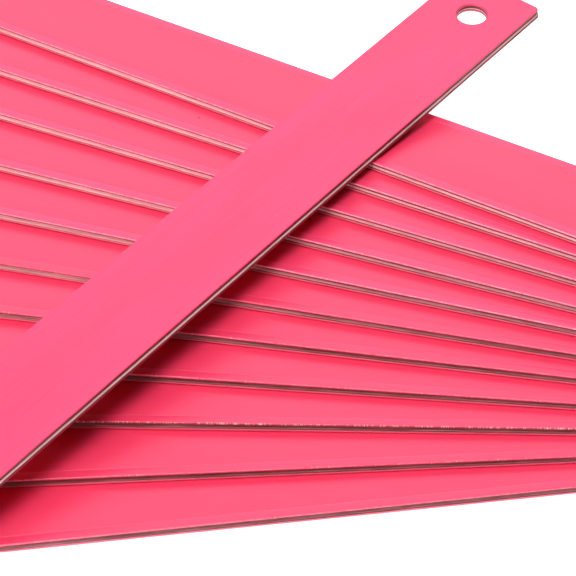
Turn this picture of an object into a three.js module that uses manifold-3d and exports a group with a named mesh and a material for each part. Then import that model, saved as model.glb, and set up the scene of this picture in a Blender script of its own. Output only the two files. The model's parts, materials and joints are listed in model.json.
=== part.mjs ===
// A fanned deck of identical narrow laminated boards on a screw post, with one loose board of the
// same kind lying across it. Each board is four bonded plies: a scored face sheet, a dark core ply,
// a pale core ply and a back sheet.
//
// Frame, in millimetres: the origin is the middle of the bottom board's underside, +X runs along
// that board towards the post, +Z is up, and the fan opens towards +Y.

import * as THREE from "three";
import { mergeVertices } from "three/addons/utils/BufferGeometryUtils.js";
import Module from "manifold-3d";

const wasm = await Module();
wasm.setup();

// ---- driving dimensions -------------------------------------------------------------------------

const board = {
  length: 304.8, // 12 in, a scrapbook page
  width: 25.4, // 1 in
  corner: 1.2, // radius of the four corners
  postInset: 12.7, // post's axis from the end
};

// Plies from the top down: node suffix, thickness and look.
const plies = [
  { name: "face_sheet", thickness: 0.45, look: "pink" },
  { name: "dark_ply", thickness: 0.75, look: "brown" },
  { name: "pale_ply", thickness: 0.55, look: "cream" },
  { name: "back_sheet", thickness: 0.65, look: "pink" },
];
const counterboredPlies = 2; // from the bottom, in the bottom board only

// The score is a shallow V along both long edges of the face sheet.
const score = { inset: 2.2, width: 0.4, depth: 0.12 };

// The fan from the top board down: the swing from the board below, in degrees, and how far the
// board has slid sideways on the post, towards the front, within the play of its hole.
const fan = [
  { swing: 3.6, slide: 0.8 },
  { swing: 3.0, slide: -1.2 },
  { swing: 3.8, slide: 0 },
  { swing: 3.9, slide: 0.8 },
  { swing: 3.9, slide: 0.2 },
  { swing: 3.7, slide: 0.2 },
  { swing: 4.1, slide: 0.2 },
  { swing: 4.1, slide: 0.2 },
  { swing: 4.5, slide: 0 },
  { swing: 4.3, slide: -0.4 },
  { swing: 0, slide: 0 },
];
const runningGap = 0.1; // between one board and the next

const post = {
  radius: 2.5,
  holePlay: 1.4, // round the post, in each board
  flangeRadius: 5.2,
  flangeThickness: 1.0,
  boreRadius: 2.0,
  boreFloor: 6, // solid length left at the foot
};
const screw = {
  headRadius: 5.0,
  headThickness: 1.5,
  edge: 0.4, // of the head's rim, below its dome
  slotWidth: 1.1,
  slotDepth: 0.7,
  engagement: 16, // of its shank in the post's bore
};
const washer = { outerRadius: 6.2, thickness: 0.6 };
const fit = { turned: 0.1, threaded: 0.15, flangeSide: 0.4 }; // clearances at the post

// The loose board leans on the top board's front arris, and its low corner is on the table.
const loose = {
  alongTop: 136.6, // from the post to where its near side crosses that arris
  crossing: 79.25, // its direction from the top board's, in degrees
  reach: 235, // from that crossing to its low end
  lift: 0.3, // clearance over the arris
};

const facets = { corner: 2, hole: 16, lathe: 24 };

// ---- what follows from them ---------------------------------------------------------------------

const boardThickness = plies.reduce((sum, ply) => sum + ply.thickness, 0);
const pitch = boardThickness + runningGap;
const deckTop = fan.length * pitch - runningGap;
const holeRadius = post.radius + post.holePlay;
const counterboreRadius = post.flangeRadius + fit.flangeSide;
const radians = THREE.MathUtils.degToRad;

const looks = {
  pink: new THREE.MeshStandardMaterial({ color: 0xfb5f86, roughness: 0.55, metalness: 0 }),
  brown: new THREE.MeshStandardMaterial({ color: 0x6b2a2c, roughness: 0.9, metalness: 0 }),
  cream: new THREE.MeshStandardMaterial({ color: 0xdcaaa2, roughness: 0.9, metalness: 0 }),
  steel: new THREE.MeshStandardMaterial({ color: 0xb9bbbf, roughness: 0.3, metalness: 1 }),
};

// ---- solids -------------------------------------------------------------------------------------

// A closed mesh as a solid that can be cut.
function solidFrom(geometry) {
  const bare = geometry.index ? geometry.toNonIndexed() : geometry.clone();
  bare.deleteAttribute("normal");
  bare.deleteAttribute("uv");
  const merged = mergeVertices(bare, 1e-4);
  return new wasm.Manifold(
    new wasm.Mesh({
      numProp: 3,
      vertProperties: merged.attributes.position.array,
      triVerts: new Uint32Array(merged.index.array),
    }),
  );
}

function geometryFrom(solid) {
  const mesh = solid.getMesh();
  const geometry = new THREE.BufferGeometry();
  geometry.setAttribute("position", new THREE.BufferAttribute(mesh.vertProperties, 3));
  geometry.setIndex(new THREE.BufferAttribute(mesh.triVerts, 1));
  geometry.computeVertexNormals();
  return geometry;
}

// A board's outline seen from above, with the hole's centre at the origin.
function boardOutline(radiusOfHole) {
  const { length, width, corner, postInset } = board;
  const [left, right, front, back] = [postInset - length, postInset, -width / 2, width / 2];
  const outline = new THREE.Shape();
  outline.absarc(left + corner, front + corner, corner, Math.PI, 1.5 * Math.PI);
  outline.absarc(right - corner, front + corner, corner, 1.5 * Math.PI, 2 * Math.PI);
  outline.absarc(right - corner, back - corner, corner, 0, 0.5 * Math.PI);
  outline.absarc(left + corner, back - corner, corner, 0.5 * Math.PI, Math.PI);
  const hole = [];
  for (let i = 0; i < facets.hole; i++) {
    const turn = (2 * Math.PI * i) / facets.hole;
    hole.push(
      new THREE.Vector2(radiusOfHole * Math.cos(turn), radiusOfHole * Math.sin(turn)),
    );
  }
  outline.holes.push(new THREE.Path(hole));
  return outline;
}

function plyGeometry(thickness, radiusOfHole) {
  return new THREE.ExtrudeGeometry(boardOutline(radiusOfHole), {
    depth: thickness,
    bevelEnabled: false,
    curveSegments: facets.corner,
  });
}

// A V-shaped bar that runs past both ends of a board, its mouth at the sheet's top face.
function scoreCutter(thickness, y) {
  const above = score.depth; // the bar stands this far over the face, so that the cut is clean
  const halfMouth = (score.width / 2) * ((score.depth + above) / score.depth);
  const section = new THREE.Shape([
    new THREE.Vector2(0, thickness - score.depth),
    new THREE.Vector2(halfMouth, thickness + above),
    new THREE.Vector2(-halfMouth, thickness + above),
  ]);
  const past = 1;
  const bar = new THREE.ExtrudeGeometry(section, {
    depth: board.length + 2 * past,
    bevelEnabled: false,
  });
  // The section's x is the row's y and its y is z, so the bar runs along x.
  bar.applyMatrix4(
    new THREE.Matrix4().makeBasis(
      new THREE.Vector3(0, 1, 0),
      new THREE.Vector3(0, 0, 1),
      new THREE.Vector3(1, 0, 0),
    ),
  );
  bar.translate(board.postInset - board.length - past, y, 0);
  return solidFrom(bar);
}

function scoredSheetGeometry(thickness, radiusOfHole) {
  const scoreLine = board.width / 2 - score.inset;
  return geometryFrom(
    solidFrom(plyGeometry(thickness, radiusOfHole))
      .subtract(scoreCutter(thickness, scoreLine))
      .subtract(scoreCutter(thickness, -scoreLine)),
  );
}

function latheZ(points) {
  const profile = points.map(([r, z]) => new THREE.Vector2(r, z));
  return new THREE.LatheGeometry(profile, facets.lathe).rotateX(Math.PI / 2);
}

// ---- pieces -------------------------------------------------------------------------------------

function piece(name, geometry, look) {
  const mesh = new THREE.Mesh(geometry, looks[look]);
  mesh.name = name;
  return mesh;
}

// One board, its origin at the hole's centre on the underside.
function makeBoard(name, counterbored = false) {
  const group = new THREE.Group();
  let top = boardThickness;
  plies.forEach((ply, i) => {
    const wide = counterbored && i >= plies.length - counterboredPlies;
    const radius = wide ? counterboreRadius : holeRadius;
    const make = ply.name === "face_sheet" ? scoredSheetGeometry : plyGeometry;
    const mesh = piece(`${name}_${ply.name}`, make(ply.thickness, radius), ply.look);
    top -= ply.thickness;
    mesh.position.z = top;
    group.add(mesh);
  });
  return group;
}

// The fan: every board turns about the post, and each lies one pitch above the next.
function makeFan() {
  const group = new THREE.Group();
  let opened = 0;
  for (let i = fan.length - 1; i >= 0; i--) {
    opened += fan[i].swing;
    const bottom = i === fan.length - 1;
    const plank = makeBoard(`board_${String(i + 1).padStart(2, "0")}`, bottom);
    plank.position.y = -fan[i].slide;
    const turned = new THREE.Group();
    turned.rotation.z = -radians(opened);
    turned.position.z = (fan.length - 1 - i) * pitch;
    turned.add(plank);
    group.add(turned);
  }
  return group;
}

// The loose board, in the post's frame.
function makeLooseBoard() {
  const opened = fan.reduce((sum, { swing }) => sum + swing, 0);
  const across = radians(loose.crossing);
  // The lean puts the low corner on the table while the underside clears the arris by the lift.
  const run = loose.reach * Math.sin(across);
  const lean = Math.asin(deckTop / Math.hypot(loose.lift, run)) + Math.atan2(loose.lift, run);

  const plank = makeBoard("loose_board");
  plank.position.set(board.length - loose.reach - board.postInset, board.width / 2, loose.lift);
  const aimed = new THREE.Group();
  aimed.rotation.z = across;
  aimed.add(plank);
  const leaning = new THREE.Group();
  leaning.rotation.x = lean;
  leaning.position.set(-loose.alongTop, -board.width / 2 - fan[0].slide, deckTop);
  leaning.add(aimed);
  const onTop = new THREE.Group();
  onTop.rotation.z = -radians(opened);
  onTop.add(leaning);
  return onTop;
}

// The post: a flanged sleeve up through the deck, its flange sunk in the bottom board.
function makePost() {
  const counterboreDepth = plies
    .slice(-counterboredPlies)
    .reduce((sum, ply) => sum + ply.thickness, 0);
  const flangeTop = counterboreDepth - fit.turned;
  const flangeFoot = flangeTop - post.flangeThickness;
  const rim = deckTop - fit.turned;
  return piece(
    "post_sleeve",
    latheZ([
      [0, flangeFoot],
      [post.flangeRadius, flangeFoot],
      [post.flangeRadius, flangeTop],
      [post.radius, flangeTop],
      [post.radius, rim],
      [post.boreRadius, rim],
      [post.boreRadius, post.boreFloor],
      [0, post.boreFloor],
    ]),
    "steel",
  );
}

function makeWasher() {
  const foot = deckTop + fit.turned;
  const inner = post.boreRadius;
  return piece(
    "post_washer",
    latheZ([
      [inner, foot],
      [washer.outerRadius, foot],
      [washer.outerRadius, foot + washer.thickness],
      [inner, foot + washer.thickness],
      [inner, foot],
    ]),
    "steel",
  );
}

// The screw: a low domed head with a driver slot, and a plain shank down the sleeve's bore.
function makeScrew() {
  const seat = deckTop + 2 * fit.turned + washer.thickness;
  const crown = seat + screw.headThickness;
  const shank = post.boreRadius - fit.threaded;
  const turned = latheZ([
    [0, deckTop - screw.engagement],
    [shank, deckTop - screw.engagement],
    [shank, seat],
    [screw.headRadius, seat],
    [screw.headRadius, seat + screw.edge],
    [screw.headRadius * 0.86, seat + screw.headThickness * 0.7],
    [screw.headRadius * 0.55, seat + screw.headThickness * 0.94],
    [0, crown],
  ]);
  const slot = new THREE.BoxGeometry(
    2.5 * screw.headRadius,
    screw.slotWidth,
    2 * screw.slotDepth,
  ).translate(0, 0, crown);
  return piece("post_screw", geometryFrom(solidFrom(turned).subtract(solidFrom(slot))), "steel");
}

// ---- the object ---------------------------------------------------------------------------------

const deck = new THREE.Group();
deck.position.x = board.length / 2 - board.postInset;
deck.add(makeFan(), makeLooseBoard(), makePost(), makeWasher(), makeScrew());

const object = new THREE.Group();
object.add(deck);

export default object;
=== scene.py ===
"""Looks of a fanned deck of narrow laminated boards on a screw post, with one loose board across it.

Every board is rebuilt ply by ply in a frame measured from its own CAD nodes: x runs along the board
towards its hole, y across it and z up through it, with the origin in the middle of the underside.
"""

import json
import math

import bpy
import numpy as np
from mathutils import Matrix, Vector

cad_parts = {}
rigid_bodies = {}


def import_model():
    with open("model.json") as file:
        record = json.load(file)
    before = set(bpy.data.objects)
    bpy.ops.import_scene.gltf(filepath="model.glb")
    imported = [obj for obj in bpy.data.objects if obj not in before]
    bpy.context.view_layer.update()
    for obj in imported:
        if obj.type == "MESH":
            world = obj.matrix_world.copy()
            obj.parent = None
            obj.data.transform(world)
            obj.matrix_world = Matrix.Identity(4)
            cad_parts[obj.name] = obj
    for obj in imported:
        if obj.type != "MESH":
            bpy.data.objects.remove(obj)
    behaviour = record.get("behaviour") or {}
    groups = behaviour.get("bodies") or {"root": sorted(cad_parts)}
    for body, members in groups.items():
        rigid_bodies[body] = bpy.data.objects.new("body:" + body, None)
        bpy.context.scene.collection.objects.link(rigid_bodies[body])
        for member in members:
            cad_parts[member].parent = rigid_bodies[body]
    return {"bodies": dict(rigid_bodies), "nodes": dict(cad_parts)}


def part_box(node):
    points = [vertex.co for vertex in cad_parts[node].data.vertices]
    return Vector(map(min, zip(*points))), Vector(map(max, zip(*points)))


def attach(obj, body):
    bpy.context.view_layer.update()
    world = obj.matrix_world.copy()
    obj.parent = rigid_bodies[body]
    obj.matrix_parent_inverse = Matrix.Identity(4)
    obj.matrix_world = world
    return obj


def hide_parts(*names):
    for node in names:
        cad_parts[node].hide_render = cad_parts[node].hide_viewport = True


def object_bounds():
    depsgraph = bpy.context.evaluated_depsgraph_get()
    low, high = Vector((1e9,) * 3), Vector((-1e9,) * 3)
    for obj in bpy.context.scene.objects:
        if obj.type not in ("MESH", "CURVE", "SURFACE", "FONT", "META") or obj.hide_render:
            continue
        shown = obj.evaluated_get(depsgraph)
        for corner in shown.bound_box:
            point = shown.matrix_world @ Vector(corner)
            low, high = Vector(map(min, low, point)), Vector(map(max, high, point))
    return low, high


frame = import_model()
CAD_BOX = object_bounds()

MM = 0.001
FAN_SIZE = 11
RANDOM_SEED = 4127

PLIES = ("face_sheet", "dark_ply", "pale_ply", "back_sheet")

# The corner radius and the score are the CAD's, repeated here in metres.
CORNER = 1.2 * MM
SCORE = {"inset": 2.2 * MM, "width": 0.4 * MM, "depth": 0.12 * MM}

ROLL = {"face_sheet": 0.16 * MM, "back_sheet": 0.26 * MM}  # arris radius of the outer sheets
GLUE_LINE = 0.045 * MM  # bevel where two plies meet

# How each board was finished. score_left is the share of the score's depth still open. The rest are
# how far each ply's cut side stands in from the board's outline, at its foot and at its top; bulge is
# the power of the curve between them, so that 1 is flat.
FAN_FINISH = {
    "score_left": 0.45,
    "face_sheet": (0.0, 0.0),
    "dark_ply": (0.10 * MM, 0.0),
    "pale_ply": (0.0, 0.20 * MM),
    "bulge": 1.0,
}
LOOSE_FINISH = {
    "score_left": 0.12,
    "face_sheet": (0.34 * MM, 0.34 * MM),
    "dark_ply": (0.40 * MM, 0.34 * MM),
    "pale_ply": (0.0, 0.44 * MM),
    "bulge": 3.0,
}
STATION = {  # spacing along the board
    "face_sheet": 2.4 * MM,
    "dark_ply": 1.5 * MM,
    "pale_ply": 1.5 * MM,
    "back_sheet": 2.8 * MM,
}
SAW_WANDER = {  # how far the cut side strays
    "face_sheet": 0.018 * MM,
    "dark_ply": 0.050 * MM,
    "pale_ply": 0.035 * MM,
    "back_sheet": 0.018 * MM,
}
SHADE_MOST = {"dark_ply": 1.0, "pale_ply": 0.85}  # how dark each core ply's cut side can be painted, as painted shade
CHIPS = {"board_07": 20, "board_08": 50, "board_09": 430, "board_10": 50}  # along the front arris
FEW_CHIPS = 5  # along every other arris
SIDE_SHADED_BOARD = 9  # the one whose face sheet is painted dark down its side, as painted shade
LAST_BOARD_WITH_STRONG_PAINTED_LIGHT = 5  # the boards below it get weaker painted highlights on their arrises and edge margins, and a lighter painted shade line at their feet
SHADE_FULL = 5  # boards down from the top one to the first whose cut sides are painted dark as shade all along
SHADE_START, SHADE_SPAN = 60 * MM, 250 * MM  # where along the top board the painted shade starts, and its run
BAND_THINNING, BAND_FADE = 0.28, 50 * MM  # of the brown band, away from the post: painted light, more cream drawn where the cut sides catch more light
DEEP_CHIP = 0.08 * MM  # a chip this deep shows its full colour
LEAST_STEP = 0.02 * MM  # between two stations
SLACK = 0.01 * MM  # for finding a node's corners at a level or a radius
FLOOR_GAP = 0.2 * MM
LATHE_STEPS = 72


# ---- mesh helpers -------------------------------------------------------------------------------


def mesh_object(name, points, faces, material):
    mesh = bpy.data.meshes.new(name)
    mesh.from_pydata([tuple(p) for p in points], [], faces)
    mesh.validate()
    mesh.materials.append(material)
    made = bpy.data.objects.new(name, mesh)
    bpy.context.scene.collection.objects.link(made)
    return made


def apply_modifiers(piece):
    graph = bpy.context.evaluated_depsgraph_get()
    mesh = bpy.data.meshes.new_from_object(piece.evaluated_get(graph), depsgraph=graph)
    piece.modifiers.clear()
    piece.data = mesh


def cut(piece, cutter):
    """Takes cutter, a closed mesh object, out of piece."""
    cutter.matrix_world = piece.matrix_world
    modifier = piece.modifiers.new("cut", "BOOLEAN")
    modifier.operation = "DIFFERENCE"
    modifier.solver = "MANIFOLD"
    modifier.object = cutter
    bpy.context.view_layer.update()
    apply_modifiers(piece)
    bpy.data.objects.remove(cutter)


def smooth_by_angle(piece, degrees):
    piece.data.shade_smooth()
    piece.data.set_sharp_from_angle(angle=math.radians(degrees))


def set_attribute(piece, name, values):
    attribute = piece.data.attributes.new(name, "FLOAT", "POINT")
    attribute.data.foreach_set("value", np.asarray(values, np.float32))


def vertex_array(mesh):
    flat = np.empty(len(mesh.vertices) * 3)
    mesh.vertices.foreach_get("co", flat)
    return flat.reshape(-1, 3)


def swept(sections):
    """Faces of a closed tube through equal rings of points, with both ends capped."""
    count, ring = len(sections), len(sections[0])
    faces = []
    for i in range(count - 1):
        for j in range(ring):
            k = (j + 1) % ring
            faces.append((i * ring + j, i * ring + k, (i + 1) * ring + k, (i + 1) * ring + j))
    faces.append(tuple(range(ring))[::-1])
    faces.append(tuple(range((count - 1) * ring, count * ring)))
    return faces


def lathed(name, profile, material, steps=LATHE_STEPS):
    """A closed solid turned about z from (radius, height) points that start and end on the axis."""
    inner = profile[1:-1]
    turn = 2 * math.pi / steps
    points = [
        (r * math.cos(turn * i), r * math.sin(turn * i), z) for i in range(steps) for r, z in inner
    ]
    ring = len(inner)
    foot, crown = len(points), len(points) + 1
    points += [(0, 0, profile[0][1]), (0, 0, profile[-1][1])]
    faces = []
    for i in range(steps):
        here, there = i * ring, ((i + 1) % steps) * ring
        for j in range(ring - 1):
            faces.append((here + j, there + j, there + j + 1, here + j + 1))
        faces.append((foot, there, here))
        faces.append((crown, here + ring - 1, there + ring - 1))
    return mesh_object(name, points, faces, material)


def turned_ring(name, profile, material):
    """A closed ring turned about z from a closed loop of (radius, height) points."""
    turn = 2 * math.pi / LATHE_STEPS
    ring = len(profile)
    points = [
        (r * math.cos(turn * i), r * math.sin(turn * i), z)
        for i in range(LATHE_STEPS)
        for r, z in profile
    ]
    faces = []
    for i in range(LATHE_STEPS):
        here, there = i * ring, ((i + 1) % LATHE_STEPS) * ring
        for j in range(ring):
            k = (j + 1) % ring
            faces.append((here + j, there + j, there + k, here + k))
    return mesh_object(name, points, faces, material)


# ---- shader helpers -----------------------------------------------------------------------------


class Nodes:
    """A material's node tree, with short calls for the nodes that these looks are made of."""

    def __init__(self, name):
        self.material = bpy.data.materials.new(name)
        self.material.use_nodes = True
        self.tree = self.material.node_tree
        self.shader = self.tree.nodes["Principled BSDF"]

    def add(self, kind, inputs=None, **settings):
        node = self.tree.nodes.new(kind)
        for key, value in settings.items():
            setattr(node, key, value)
        for key, value in (inputs or {}).items():
            self.feed(node.inputs[key], value)
        return node

    def feed(self, socket, value):
        if isinstance(value, bpy.types.NodeSocket):
            self.tree.links.new(value, socket)
        else:
            socket.default_value = value

    def math(self, operation, *values, clamp=False):
        node = self.add("ShaderNodeMath", operation=operation, use_clamp=clamp)
        for socket, value in zip(node.inputs, values):
            self.feed(socket, value)
        return node.outputs[0]

    def attribute(self, name):
        return self.add("ShaderNodeAttribute", attribute_name=name).outputs["Fac"]

    def seeded_place(self):
        """The piece's own coordinates, moved by its seed so that no two pieces look alike."""
        place = self.add("ShaderNodeTexCoord").outputs["Object"]
        seed = self.attribute("seed")
        offset = self.add("ShaderNodeCombineXYZ", {"X": seed, "Y": seed, "Z": 0.0}).outputs[0]
        return self.add("ShaderNodeVectorMath", {0: place, 1: offset}, operation="ADD").outputs[0]

    def stretched(self, place, x, y, z):
        """place with each direction scaled to that many features a metre."""
        node = self.add("ShaderNodeMapping", {"Vector": place, "Scale": (x, y, z)})
        return node.outputs[0]

    def noise(self, place, scale=1.0, detail=3.0, roughness=0.55):
        inputs = {"Vector": place, "Scale": scale, "Detail": detail, "Roughness": roughness}
        return self.add("ShaderNodeTexNoise", inputs).outputs["Fac"]

    def spots(self, place, size, density):
        """1 inside scattered round dots of about that size in cells, 0 outside."""
        cells = self.add("ShaderNodeTexVoronoi", {"Vector": place, "Scale": 1.0})
        chosen = self.add("ShaderNodeSeparateColor", {"Color": cells.outputs["Color"]}).outputs[0]
        near = self.remap(cells.outputs["Distance"], size * 0.6, size, 1.0, 0.0)
        return self.math("MULTIPLY", near, self.math("LESS_THAN", chosen, density))

    def remap(self, value, low, high, to_low=0.0, to_high=1.0):
        inputs = {
            "Value": value,
            "From Min": low,
            "From Max": high,
            "To Min": to_low,
            "To Max": to_high,
        }
        node = self.add("ShaderNodeMapRange", inputs, interpolation_type="SMOOTHSTEP")
        return node.outputs["Result"]

    def mix(self, amount, a, b):
        node = self.add("ShaderNodeMix", data_type="RGBA")
        self.feed(node.inputs["Factor"], amount)
        self.feed(node.inputs[6], a)
        self.feed(node.inputs[7], b)
        return node.outputs[2]

    def bump(self, height, distance, strength=1.0, normal=None):
        inputs = {"Height": height, "Distance": distance, "Strength": strength}
        if normal is not None:
            inputs["Normal"] = normal
        return self.add("ShaderNodeBump", inputs).outputs[0]

    def finish(self, colour, roughness, normal, **constants):
        self.feed(self.shader.inputs["Base Color"], colour)
        self.feed(self.shader.inputs["Roughness"], roughness)
        self.feed(self.shader.inputs["Normal"], normal)
        for name, value in constants.items():
            self.shader.inputs[name.replace("_", " ")].default_value = value
        return self.material


def rgb(red, green, blue):
    return (red, green, blue, 1.0)


# ---- materials ----------------------------------------------------------------------------------


def pink_face_material():
    """Satin pink laminate: faint drawn streaks, specks and scuffs; arrises drawn paler, partly wear and
    partly a painted highlight; a painted highlight along the edge margins and in the score; painted
    shade on the back arris and on some sides.
    """
    n = Nodes("pink_face")
    place = n.seeded_place()
    body = n.mix(n.attribute("cool"), rgb(0.95, 0.041, 0.121), rgb(0.95, 0.047, 0.162))
    deep = rgb(0.93, 0.033, 0.105)
    cloud = n.remap(n.noise(n.stretched(place, 35, 90, 60), detail=4.0), 0.35, 0.7)
    streak = n.remap(n.noise(n.stretched(place, 25, 1500, 400), detail=2.0), 0.3, 0.75)
    colour = n.mix(n.math("MULTIPLY", n.math("ADD", cloud, streak), 0.4), body, deep)

    scuff_place = n.stretched(place, 160, 420, 300)
    scuff = n.remap(n.noise(scuff_place, detail=5.0, roughness=0.7), 0.70, 0.80)
    colour = n.mix(n.math("MULTIPLY", scuff, 0.35), colour, rgb(0.95, 0.30, 0.42))

    # painted highlight: a pinker band between each arris and its score, where the edge rolls over
    # towards the light
    colour = n.mix(n.attribute("margin_highlight"), colour, rgb(0.96, 0.050, 0.150))
    # the score groove drawn lighter: partly a worn crease, partly a painted highlight of light caught
    # in the groove
    colour = n.mix(n.math("MULTIPLY", n.attribute("score"), 0.7), colour, rgb(0.97, 0.13, 0.27))

    # paler arrises: partly wear, partly a painted highlight where the rolled arris catches the light
    wear_and_highlight = n.attribute("wear_and_highlight")
    fray = n.remap(n.noise(n.stretched(place, 900, 900, 900), detail=3.0), 0.35, 0.65)
    arris_paling = n.math("MULTIPLY", wear_and_highlight, n.math("ADD", n.math("MULTIPLY", fray, 0.5), 0.5))
    colour = n.mix(arris_paling, colour, rgb(0.98, 0.36, 0.46))

    chip = n.attribute("chip")
    # painted shade: a dark red-brown line along the face sheet's back arris, and its side darkened on
    # the loose board and on one board down the deck
    colour = n.mix(n.math("MULTIPLY", n.attribute("painted_shade"), 0.8), colour, rgb(0.24, 0.07, 0.07))
    colour = n.mix(chip, colour, rgb(0.84, 0.40, 0.38))

    dark_speck = n.spots(n.stretched(place, 90, 90, 90), 0.050, 0.45)
    colour = n.mix(n.math("MULTIPLY", dark_speck, 0.75), colour, rgb(0.22, 0.015, 0.03))
    pale_speck = n.spots(n.stretched(place, 110, 110, 110), 0.045, 0.25)
    colour = n.mix(n.math("MULTIPLY", pale_speck, 0.4), colour, rgb(0.97, 0.33, 0.42))

    grain = n.noise(n.stretched(place, 2600, 5200, 3000), detail=2.0)
    roughness = n.remap(n.math("ADD", grain, n.math("MULTIPLY", scuff, 0.6)), 0.2, 1.3, 0.30, 0.52)
    normal = n.bump(grain, 0.006 * MM, 0.6)
    normal = n.bump(streak, 0.010 * MM, 0.5, normal)
    return n.finish(colour, roughness, normal, IOR=1.56)


CREAM = rgb(0.96, 0.62, 0.62)
CREAM_SHADE = rgb(0.88, 0.46, 0.48)
BROWN = rgb(0.27, 0.050, 0.058)
BROWN_SHADE = rgb(0.12, 0.022, 0.026)


def core_material(name, brown_from, brown_to):
    """A fibrous core ply at its cut side. Without painted shade a ply is brown where rise is past
    brown_to and cream before brown_from, or the other way round; painted shade, laid on where the cut
    sides face away from the lights and broken by random patches, turns it brown all over."""
    n = Nodes(name)
    place = n.seeded_place()
    fibres = n.noise(n.stretched(place, 180, 3000, 1200), detail=5.0, roughness=0.65)
    marks = n.noise(n.stretched(place, 1700, 200, 250), detail=2.0)
    patches = n.noise(n.stretched(place, 60, 200, 60), detail=3.0)
    shade = n.remap(fibres, 0.3, 0.7)
    cream = n.mix(shade, CREAM, CREAM_SHADE)
    brown = n.mix(shade, BROWN, BROWN_SHADE)
    wavy = n.math("ADD", n.attribute("rise"), n.math("MULTIPLY", n.math("SUBTRACT", patches, 0.5), 0.2))
    banded = n.remap(wavy, brown_from, brown_to)
    patchy = n.math("MULTIPLY", n.math("SUBTRACT", patches, 0.5), 0.6)
    # painted shade on the cut side, broken by random patches
    shade_share = n.math("ADD", n.attribute("cut_side_shade"), patchy, clamp=True)
    colour = n.mix(n.math("MAXIMUM", banded, shade_share), cream, brown)
    roughness = n.remap(fibres, 0.2, 0.8, 0.62, 0.85)
    normal = n.bump(fibres, 0.03 * MM, 0.8)
    normal = n.bump(marks, 0.02 * MM, 0.6, normal)
    return n.finish(colour, roughness, normal, IOR=1.45)


def pink_back_material():
    """The plain back sheet, paler than the face and a little duller, with a fine pressed grain."""
    n = Nodes("pink_back")
    place = n.seeded_place()
    mottle = n.noise(n.stretched(place, 70, 110, 90), detail=4.0)
    colour = n.mix(n.remap(mottle, 0.3, 0.7), rgb(0.93, 0.16, 0.26), rgb(0.90, 0.11, 0.20))
    rub = n.noise(n.stretched(place, 60, 600, 300), detail=5.0, roughness=0.7)
    rubbed = n.remap(rub, 0.62, 0.75)
    colour = n.mix(n.math("MULTIPLY", rubbed, 0.3), colour, rgb(0.95, 0.36, 0.45))
    # paler lower arris: partly wear, partly a painted highlight
    colour = n.mix(n.math("MULTIPLY", n.attribute("wear_and_highlight"), 0.55), colour, rgb(0.98, 0.33, 0.42))
    # painted shade: a dark line at the foot of the back sheet's side, where it meets the board below,
    # and that whole side on the loose board
    colour = n.mix(n.math("MULTIPLY", n.attribute("painted_shade"), 0.85), colour, rgb(0.30, 0.012, 0.03))
    speck = n.spots(n.stretched(place, 70, 70, 70), 0.04, 0.12)
    colour = n.mix(n.math("MULTIPLY", speck, 0.6), colour, rgb(0.25, 0.03, 0.04))
    grain = n.noise(n.stretched(place, 1800, 1800, 1800), detail=3.0)
    roughness = n.remap(grain, 0.3, 0.7, 0.48, 0.62)
    normal = n.bump(grain, 0.012 * MM, 0.7)
    return n.finish(colour, roughness, normal, IOR=1.5)


def post_metal_material():
    """Nickelled steel with rings left by turning, fine scratches and dull patches from handling."""
    n = Nodes("post_metal")
    place = n.add("ShaderNodeTexCoord").outputs["Object"]
    rings = n.add(
        "ShaderNodeTexWave",
        {"Vector": place, "Scale": 900.0, "Distortion": 0.6, "Detail": 2.0},
        wave_type="RINGS",
        rings_direction="Z",
    ).outputs["Fac"]
    handling = n.noise(n.stretched(place, 500, 500, 500), detail=4.0)
    scratch = n.noise(n.stretched(place, 900, 9000, 900), detail=2.0)
    tarnish = n.remap(handling, 0.45, 0.7)
    colour = n.mix(tarnish, rgb(0.66, 0.65, 0.63), rgb(0.46, 0.45, 0.43))
    roughness = n.remap(n.math("ADD", handling, scratch), 0.7, 1.3, 0.22, 0.42)
    normal = n.bump(rings, 0.004 * MM, 0.6)
    normal = n.bump(scratch, 0.003 * MM, 0.5, normal)
    return n.finish(colour, roughness, normal, Metallic=1.0)


def floor_material():
    n = Nodes("studio_floor")
    place = n.add("ShaderNodeTexCoord").outputs["Object"]
    tooth = n.noise(n.stretched(place, 300, 300, 300), detail=2.0)
    colour = n.mix(n.remap(tooth, 0.3, 0.7), rgb(0.85, 0.88, 0.84), rgb(0.83, 0.86, 0.82))
    n.shader.inputs["Emission Color"].default_value = rgb(1.0, 1.0, 1.0)
    n.shader.inputs["Emission Strength"].default_value = 0.75
    return n.finish(colour, 0.8, n.bump(tooth, 0.02 * MM, 0.2), IOR=1.3)


MATERIALS = {
    "face_sheet": pink_face_material(),
    "dark_ply": core_material("dark_ply", 0.42, 0.58),
    "pale_ply": core_material("pale_ply", 0.58, 0.36),
    "back_sheet": pink_back_material(),
    "post": post_metal_material(),
}


# ---- boards -------------------------------------------------------------------------------------


def node_points(node):
    """The node's corners in the shared frame, in metres, each once."""
    return np.unique(np.round(vertex_array(frame["nodes"][node].data), 8), axis=0)


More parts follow.
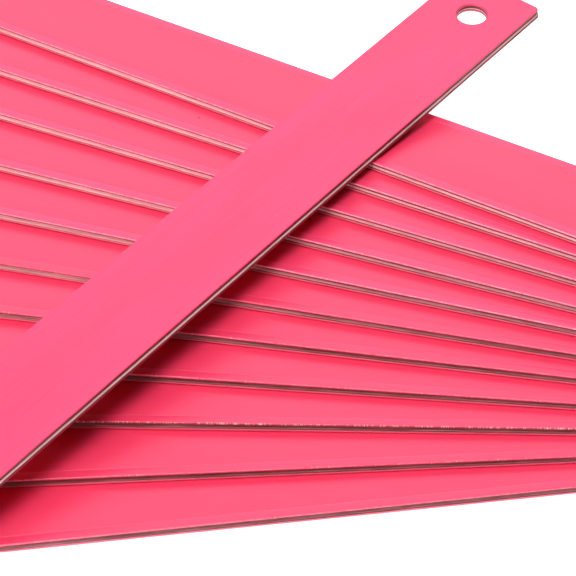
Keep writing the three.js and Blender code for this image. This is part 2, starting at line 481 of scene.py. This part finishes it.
def board_frame(board):
    """The board's matrix, length, width, hole centre, and each ply's heights and hole radius."""
    core = node_points(f"{board}_dark_ply")
    middle = core.mean(axis=0)
    axes = np.linalg.svd(core - middle, full_matrices=False)[2]
    along, up = axes[0], axes[2] * np.sign(axes[2][2])
    reach = (core - middle) @ along
    along = along * np.sign(-(reach.min() + reach.max()))  # the hole's corners pull the mean to it
    across = np.cross(up, along)
    turn = np.column_stack([along, across, up])

    local = {ply: node_points(f"{board}_{ply}") @ turn for ply in PLIES}
    low, high = local["dark_ply"].min(axis=0), local["dark_ply"].max(axis=0)
    origin = (low + high) / 2
    origin[2] = local["back_sheet"][:, 2].min()
    half = (high - low) / 2
    points = {ply: local[ply] - origin for ply in PLIES}

    inside = np.abs(points["dark_ply"][:, 1]) < half[1] - 2 * CORNER
    inside &= np.abs(points["dark_ply"][:, 0]) < half[0] - 2 * CORNER
    rim = points["dark_ply"][inside]
    hole = (rim.min(axis=0) + rim.max(axis=0))[:2] / 2
    holes = {}
    for ply in PLIES:
        distance = np.hypot(*(points[ply][:, :2] - hole).T)
        holes[ply] = distance.min()

    matrix = Matrix.Identity(4)
    for i in range(3):
        for j in range(3):
            matrix[i][j] = turn[i, j]
    matrix.translation = Vector(turn @ origin)
    return {
        "matrix": matrix,
        "half_length": half[0],
        "half_width": half[1],
        "hole": hole,
        "hole_radius": holes,
        "heights": {ply: (p[:, 2].min(), p[:, 2].max()) for ply, p in points.items()},
    }


def stations(half_length, spacing, extra=()):
    """Places along the board: an even run, closer round the corners and at any extra places."""
    straight = half_length - CORNER
    run = np.linspace(-straight, straight, int(round(2 * straight / spacing)) + 1)
    corner = straight + CORNER * np.sin(np.radians([18, 36, 54, 68, 80, 90]))
    places = np.concatenate([run, corner, -corner, np.asarray(extra, float)])
    places = places[np.abs(places) <= half_length + 1e-9]
    places = np.sort(places)
    keep = np.concatenate([[True], np.diff(places) > LEAST_STEP])
    return places[keep]


def half_width_at(x, half_length, half_width):
    """The board's half width at x, narrower in its rounded corners."""
    past = np.clip(np.abs(x) - (half_length - CORNER), 0, CORNER)
    return half_width - CORNER + np.sqrt(np.maximum(CORNER**2 - past**2, 0))


def end_drop(x, half_length, radius):
    """How far an arris of that radius has fallen at x, near the board's ends."""
    past = np.clip(np.abs(x) - (half_length - radius), 0, radius)
    return radius - np.sqrt(np.maximum(radius**2 - past**2, 0))


def wander(x, rng, size):
    """A saw's path along x: slow waves and a fine tremor, at most about that size."""
    total = np.zeros_like(x)
    for wavelength, share in ((90 * MM, 0.45), (23 * MM, 0.30), (7 * MM, 0.15)):
        phase = rng.uniform(0, 2 * math.pi)
        length = wavelength * rng.uniform(0.8, 1.25)
        total += share * np.sin(2 * math.pi * x / length + phase)
    total += rng.uniform(-0.35, 0.35, len(x))
    return total * size


def make_chips(rng, half_length, front_count):
    """Small breaks along the face sheet's arrises: side, place, half length and depth."""
    chips = []
    for side, count in ((-1, front_count), (1, FEW_CHIPS)):
        for _ in range(count):
            chips.append(
                {
                    "side": side,
                    "x": rng.uniform(-0.98, 0.98) * (half_length - 2 * CORNER),
                    "reach": rng.uniform(0.07, 0.20) * MM,
                    "depth": rng.uniform(0.04, 0.10) * MM,
                }
            )
    return chips


def chip_depth(chips, side, x):
    """How deep the chips on that side cut in at each x."""
    depth = np.zeros_like(x)
    for chip in chips:
        if chip["side"] == side:
            nearness = np.clip(1 - np.abs(x - chip["x"]) / chip["reach"], 0, 1)
            depth = np.maximum(depth, chip["depth"] * np.sqrt(nearness))
    return depth


def face_sheet_side(top, bottom, stand_in, score_depth):
    """The face sheet's side and score from the bottom up, with its upper arris rolled."""
    bevel, roll = GLUE_LINE, ROLL["face_sheet"]
    points = [
        (stand_in + bevel, bottom, 0.0),
        (stand_in, bottom + bevel, 0.0),
        (stand_in, top - roll - 0.08 * MM, 0.25),
    ]
    for degrees in (0, 30, 60, 90):
        angle = math.radians(degrees)
        inset = stand_in + roll * (1 - math.cos(angle))
        points.append((inset, top - roll * (1 - math.sin(angle)), 1.0 - degrees / 360))
    groove, half = SCORE["inset"], SCORE["width"] / 2
    points += [
        (stand_in + roll + 0.20 * MM, top, 0.3),
        (stand_in + roll + 0.38 * MM, top, 0.1),
        (groove - half - 0.06 * MM, top, 0.0),
        (groove - half * 0.7, top - score_depth * 0.35, 0.0),
        (groove, top - score_depth, 0.0),
        (groove + half * 0.7, top - score_depth * 0.35, 0.0),
        (groove + half + 0.06 * MM, top, 0.0),
    ]
    return points


def back_sheet_side(top, bottom):
    """The back sheet's side from the bottom up, its lower arris rolled."""
    roll, bevel = ROLL["back_sheet"], 2 * GLUE_LINE
    points = []
    for degrees in (90, 60, 30, 0):
        angle = math.radians(degrees)
        points.append((roll * (1 - math.cos(angle)), bottom + roll * (1 - math.sin(angle)), 0.0))
    return [*points, (0.0, top - bevel, 0.0), (bevel, top, 0.0)]


def core_side(top, bottom, low_inset, high_inset, bulge):
    """A core ply's side from the bottom up, from one inset to the other."""
    bevel = GLUE_LINE
    points = [(low_inset + bevel, bottom, 0.0)]
    for share in (0.08, 0.36, 0.64, 0.92):
        inset = low_inset + (high_inset - low_inset) * share**bulge
        points.append((inset, bottom + (top - bottom) * share, 0.0))
    return [*points, (high_inset + bevel, top, 0.0)]


def side_profile(ply, place, finish):
    """The ply's side points from the bottom up: inset, height, and share of a chip's depth."""
    bottom, top = place["heights"][ply]
    if ply == "face_sheet":
        return face_sheet_side(top, bottom, finish[ply][0], SCORE["depth"] * finish["score_left"])
    if ply == "back_sheet":
        return back_sheet_side(top, bottom)
    return core_side(top, bottom, *finish[ply], finish["bulge"])


def ply_sections(ply, place, chips, finish, rng):
    """The ply's rings of points, one at each station along the board."""
    bottom, top = place["heights"][ply]
    half_length, half_width = place["half_length"], place["half_width"]
    side_points = side_profile(ply, place, finish)
    extra = []
    if ply == "face_sheet":
        for chip in chips:
            extra += [chip["x"] + chip["reach"] * t for t in (-1, 0, 1)]
    roll = ROLL.get(ply, 0.0)
    if roll:
        ends = half_length - roll * (1 - np.sin(np.radians([0, 30, 60])))
        extra += [*ends, *-ends]
    x = stations(half_length, STATION[ply], extra)
    half = half_width_at(x, half_length, half_width)
    drop = end_drop(x, half_length, roll)

    rings = np.empty((len(x), 2 * len(side_points), 3))
    for side in (-1, 1):
        path = wander(x, rng, SAW_WANDER[ply]) - SAW_WANDER[ply]
        depth = chip_depth(chips, side, x) if ply == "face_sheet" else np.zeros_like(x)
        for j, (inset, height, takes_chip) in enumerate(side_points):
            near_edge = 1.0 if inset < SCORE["inset"] / 2 else 0.0
            ragged = rng.uniform(-0.4, 0.4, len(x)) * SAW_WANDER[ply] if inset == 0 else 0.0
            y = half - inset - depth * takes_chip
            y = y + near_edge * np.minimum(path + ragged, 0.0)
            z = height - depth * takes_chip * (height > (top + bottom) / 2)
            if ply == "face_sheet":
                z = np.minimum(z, top - drop)
            if ply == "back_sheet":
                z = np.maximum(z, bottom + drop)
            index = j if side > 0 else 2 * len(side_points) - 1 - j
            rings[:, index, 0] = x
            rings[:, index, 1] = side * y
            rings[:, index, 2] = z
    return rings


def hole_cutter(ply, place):
    """The tool for the ply's hole, flared a little where it leaves the outer sheets."""
    bottom, top = place["heights"][ply]
    radius = place["hole_radius"][ply]
    flare, past = 0.22 * MM, 0.5 * MM
    low, high = radius, radius
    profile = [(0, bottom - past)]
    if ply == "back_sheet":
        low = radius + flare
        profile += [(low + past, bottom - past), (radius, bottom + flare)]
    else:
        profile += [(low, bottom - past)]
    if ply == "face_sheet":
        high = radius + flare
        profile += [(radius, top - flare), (high + past, top + past)]
    else:
        profile += [(high, top + past)]
    profile += [(0, top + past)]
    cutter = lathed("cutter", profile, MATERIALS[ply], 64)
    cutter.data.transform(Matrix.Translation((*place["hole"], 0)))
    return cutter


def cut_side_shade_along(x, ply, number):
    """How much painted shade a core ply's cut side gets, from 0 to 1: more down the deck and nearer the
    post, where the cut sides catch less light. The loose board, number 0, gets none on its pale ply,
    and its dark ply is painted dark throughout."""
    if number == 0:
        return np.full(len(x), 1.0 if ply == "dark_ply" else 0.0)
    shade_share = (number - 1) / SHADE_FULL + (x - SHADE_START) / SHADE_SPAN
    return SHADE_MOST[ply] * np.clip(shade_share, 0, 1)


def rise_in_band(ply, x, rise, number):
    """rise, as the core material reads it for the brown band, which is drawn thinner away from the
    post: painted light, more cream where the cut sides catch more light.
    """
    thinner = BAND_THINNING * np.clip(-x / BAND_FADE, 0, 1)
    if ply == "dark_ply":
        return rise - thinner
    return rise + thinner * (number > 0)


def painted_shade_on(ply, points, place, number):
    """Painted shade on an outer sheet, from 0 to 1: a dark line along the foot of the back sheet's
    side, where it meets the board below, and that whole side on the loose board, which faces away from
    the lights; on the face sheet, a dark line along its back arris, its side on the loose board, and
    the whole side of the one board set above to be shaded down its side."""
    bottom, top = place["heights"][ply]
    inset = place["half_width"] - np.abs(points[:, 1])
    if ply == "face_sheet":
        back = (points[:, 1] > 0) * (inset < 0.4 * MM) * (number > 0) * 0.6
        side = (inset < 0.05 * MM) * (number == SIDE_SHADED_BOARD) * 0.8
        side += (inset < 0.36 * MM) * (top - points[:, 2] > 0.1 * MM) * (number == 0) * 0.6
        return np.maximum(back, side)
    rise = points[:, 2] - bottom
    if number == 0:
        return (inset < 1.1 * ROLL[ply]) * 1.0
    # the painted shade line at the foot is lighter on the lower boards
    amount = 0.9 if number <= LAST_BOARD_WITH_STRONG_PAINTED_LIGHT else 0.4
    return (inset < 1.1 * ROLL[ply]) * (rise < 0.6 * ROLL[ply]) * amount


def ply_attributes(piece, ply, place, chips, seed, number):
    """Per-vertex facts that the materials read, such as the piece's seed, its wear with painted
    highlights, and its painted shade.
    """
    points = vertex_array(piece.data)
    count = len(points)
    inset = place["half_width"] - np.abs(points[:, 1])
    # painted highlight in the margin between arris and score: strong on the upper boards, faint on the
    # lower ones and the loose board
    bright = 1.0 if 0 < number <= LAST_BOARD_WITH_STRONG_PAINTED_LIGHT else 0.2
    set_attribute(piece, "margin_highlight", (inset < SCORE["inset"]) * bright)
    inset = np.minimum(inset, place["half_length"] - np.abs(points[:, 0]))
    bottom, top = place["heights"][ply]
    set_attribute(piece, "seed", np.full(count, seed))
    if ply in ("dark_ply", "pale_ply"):
        # painted shade on the cut side
        set_attribute(piece, "cut_side_shade", cut_side_shade_along(points[:, 0], ply, number))
        rise = (points[:, 2] - bottom) / (top - bottom)
        set_attribute(piece, "rise", rise_in_band(ply, points[:, 0], rise, number))
        return
    outer = top if ply == "face_sheet" else bottom
    # arrises drawn paler: partly wear, partly a painted highlight
    wear_and_highlight = (inset < 0.12 * MM) & (np.abs(points[:, 2] - outer) < 0.4 * MM)
    # painted shade on the outer sheets
    painted_shade = painted_shade_on(ply, points, place, number)
    # strength of the painted arris highlight: weaker on the lower boards, which catch less light
    rub = 1.0 if number <= LAST_BOARD_WITH_STRONG_PAINTED_LIGHT else 0.4
    set_attribute(piece, "wear_and_highlight", wear_and_highlight * (1 - painted_shade) * rub)
    set_attribute(piece, "painted_shade", painted_shade)
    if ply == "face_sheet":
        set_attribute(piece, "cool", np.full(count, number == 0))
        # how far the score groove is drawn lighter: partly a worn crease, partly a painted highlight
        lowered = top - points[:, 2]
        away = np.abs(place["half_width"] - np.abs(points[:, 1]) - SCORE["inset"])
        set_attribute(piece, "score", (away < 0.3 * MM) * np.clip(lowered / SCORE["depth"], 0, 1))
        chipped = np.zeros(count)
        for side in (-1, 1):
            near = (np.sign(points[:, 1]) == side) & (inset < 0.3 * MM)
            depth = chip_depth(chips, side, points[:, 0])
            chipped = np.where(near, np.clip(depth / DEEP_CHIP, 0, 1), chipped)
        set_attribute(piece, "chip", chipped)


def make_board(board, body, rng, number, finish):
    """All four plies of one board, riding on its body."""
    place = board_frame(board)
    chips = make_chips(rng, place["half_length"], CHIPS.get(board, FEW_CHIPS))
    for ply in PLIES:
        rings = ply_sections(ply, place, chips, finish, rng)
        node = f"{board}_{ply}"
        piece = mesh_object(
            f"{node}_look", rings.reshape(-1, 3), swept(rings), MATERIALS[ply]
        )
        piece.matrix_world = place["matrix"]
        cut(piece, hole_cutter(ply, place))
        ply_attributes(piece, ply, place, chips, rng.uniform(0, 50), number)
        smooth_by_angle(piece, 40)
        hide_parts(node)
        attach(piece, body)


def make_boards():
    rng = np.random.default_rng(RANDOM_SEED)
    for number in range(1, FAN_SIZE + 1):
        board = f"board_{number:02d}"
        body = board if board in frame["bodies"] else "deck_base"
        make_board(board, body, rng, number, FAN_FINISH)
    make_board("loose_board", "loose_board", rng, 0, LOOSE_FINISH)


# ---- the post -----------------------------------------------------------------------------------


def turned_sizes(node, axis):
    """The radius about the axis and the height of each of the node's corners, in metres."""
    points = node_points(node)
    radius = np.hypot(points[:, 0] - axis[0], points[:, 1] - axis[1])
    return radius, points[:, 2]


def make_sleeve(axis):
    """The post's sleeve: a flange at its foot and a bore down from its rim."""
    radius, height = turned_sizes("post_sleeve", axis)
    flange, foot, rim = radius.max(), height.min(), height.max()
    at_rim = radius[height > rim - SLACK]
    tube, bore = at_rim.max(), at_rim.min()
    flange_top = height[radius > flange - SLACK].max()
    bore_floor = height[(height > flange_top + MM) & (height < rim - MM)].min()
    edge, fillet = 0.18 * MM, 0.25 * MM
    profile = [
        (0, foot),
        (flange - edge, foot),
        (flange, foot + edge),
        (flange, flange_top - edge),
        (flange - edge, flange_top),
        (tube + fillet, flange_top),
        (tube, flange_top + fillet),
        (tube, rim - edge),
        (tube - edge / 2, rim),
        (bore + edge / 2, rim),
        (bore, rim - edge),
        (bore, bore_floor),
        (0, bore_floor),
    ]
    return lathed("post_sleeve_look", profile, MATERIALS["post"])


def make_washer(axis):
    radius, height = turned_sizes("post_washer", axis)
    inner, outer = radius.min(), radius.max()
    foot, top = height.min(), height.max()
    edge = 0.12 * MM
    profile = [
        (inner, foot + edge),
        (inner + edge, foot),
        (outer - edge, foot),
        (outer, foot + edge),
        (outer, top - 2 * edge),
        (outer - 0.7 * edge, top - 0.6 * edge),
        (outer - 2 * edge, top),
        (inner + edge, top),
        (inner, top - edge),
    ]
    return turned_ring("post_washer_look", profile, MATERIALS["post"])


def make_screw(axis):
    """The screw: a domed head with a driver slot, and its shank down the bore."""
    radius, height = turned_sizes("post_screw", axis)
    foot, crown = height.min(), height.max()
    shank = radius[height < foot + SLACK].max()
    head = radius.max()
    seat = height[radius > head - SLACK].min()
    levels = np.unique(np.round(height, 6))
    slot_floor = levels[levels < crown - 0.3 * MM].max()
    slot_floor = max(slot_floor, crown - 0.7 * MM)
    edge = 0.4 * MM
    shoulder = seat + edge
    dome = []
    for degrees in range(0, 91, 6):
        angle = math.radians(degrees)
        dome.append((head * math.cos(angle), shoulder + (crown - shoulder) * math.sin(angle)))
    profile = [
        (0, foot),
        (shank - 0.3 * MM, foot),
        (shank, foot + 0.4 * MM),
        (shank, seat),
        (head - 0.12 * MM, seat),
        (head, seat + 0.12 * MM),
        *dome[:-1],
        (0, crown),
    ]
    piece = lathed("post_screw_look", profile, MATERIALS["post"])
    half_slot, reach, over = 0.55 * MM, 1.25 * head, 0.5 * MM
    section = [
        (-half_slot * 0.82, slot_floor),
        (half_slot * 0.82, slot_floor),
        (half_slot, slot_floor + 0.15 * MM),
        (half_slot, crown - 0.12 * MM),
        (half_slot + over + 0.1 * MM, crown + over),
        (-half_slot - over - 0.1 * MM, crown + over),
        (-half_slot, crown - 0.12 * MM),
        (-half_slot, slot_floor + 0.15 * MM),
    ]
    rings = np.array([[(x, y, z) for y, z in section] for x in (-reach, reach)])
    cutter = mesh_object("cutter", rings.reshape(-1, 3), swept(rings), MATERIALS["post"])
    cut(piece, cutter)
    return piece


def make_post():
    low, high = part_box("post_sleeve")
    axis = (low + high) / 2
    makers = {"post_sleeve": make_sleeve, "post_washer": make_washer, "post_screw": make_screw}
    for node, make in makers.items():
        piece = make(axis)
        piece.location = (axis.x, axis.y, 0)
        smooth_by_angle(piece, 30)
        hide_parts(node)
        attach(piece, "deck_base")


# ---- studio -------------------------------------------------------------------------------------


def direction(azimuth, elevation):
    """The unit vector towards a point of the sky, azimuth from +X towards +Y, in degrees."""
    a, e = math.radians(azimuth), math.radians(elevation)
    return Vector((math.cos(e) * math.cos(a), math.cos(e) * math.sin(a), math.sin(e)))


def soft_light(name, target, towards, distance, size, level, turn=0.0, tint=(1.0, 1.0, 1.0)):
    """An area light of that size aimed at target. level is what it adds to a white level sheet."""
    lamp = bpy.data.lights.new(name, "AREA")
    lamp.shape = "RECTANGLE"
    lamp.size, lamp.size_y = size
    share = size[0] * size[1] / distance**2 * towards.z / math.pi
    lamp.energy = level / share * math.pi * size[0] * size[1]
    lamp.color = tint
    made = bpy.data.objects.new(name, lamp)
    made.location = target + towards * distance
    aim = towards.to_track_quat("Z", "Y")
    made.rotation_mode = "QUATERNION"
    made.rotation_quaternion = aim @ Matrix.Rotation(math.radians(turn), 4, "Z").to_quaternion()
    made.visible_camera = False
    bpy.context.scene.collection.objects.link(made)
    return made


def make_lights(target):
    soft_light("key", target, direction(244, 80), 1.3, (0.50, 1.00), 0.76)
    soft_light("fill", target, direction(211, 27), 1.6, (0.60, 0.70), 0.24)
    cool = (0.92, 0.91, 1.12)
    soft_light("back_card", target, direction(78, 42), 1.8, (1.7, 1.5), 0.30, tint=cool)


def make_world():
    world = bpy.data.worlds.new("studio")
    world.use_nodes = True
    background = world.node_tree.nodes["Background"]
    background.inputs["Color"].default_value = rgb(1.0, 1.0, 1.0)
    background.inputs["Strength"].default_value = 0.04
    bpy.context.scene.world = world


def make_floor(level):
    reach = 6.0
    corners = [(-reach, -reach, level), (reach, -reach, level), (reach, reach, level)]
    corners.append((-reach, reach, level))
    floor = mesh_object("studio_floor", corners, [(0, 1, 2, 3)], floor_material())


def make_camera(centre):
    """A long lens from the front left, 41 degrees above the table and rolled a little."""
    azimuth, elevation, roll = -11.95, 41.11, 3.09
    look_at = centre + Vector((5.9, -9.1, -6.9)) * MM
    distance = 479.5 * MM
    a, e = math.radians(azimuth), math.radians(elevation)
    back = Vector((math.sin(a) * math.cos(e), -math.cos(a) * math.cos(e), math.sin(e)))
    lens = bpy.data.cameras.new("camera")
    lens.sensor_width = 36.0
    lens.lens = 127.6  # focal length in millimetres
    lens.clip_start, lens.clip_end = 0.02, 50.0
    camera = bpy.data.objects.new("camera", lens)
    camera.rotation_mode = "QUATERNION"
    aim = (-back).to_track_quat("-Z", "Y").to_matrix().to_4x4()
    camera.matrix_world = (
        Matrix.Translation(look_at + back * distance)
        @ aim
        @ Matrix.Rotation(math.radians(roll), 4, "Z")
    )
    bpy.context.scene.collection.objects.link(camera)
    bpy.context.scene.camera = camera


make_boards()
make_post()

LOW, HIGH = CAD_BOX
CENTRE = (LOW + HIGH) / 2
make_camera(CENTRE)
make_lights(CENTRE)
make_world()
make_floor(LOW.z - FLOOR_GAP)
bpy.context.scene.view_settings.view_transform = "Standard"
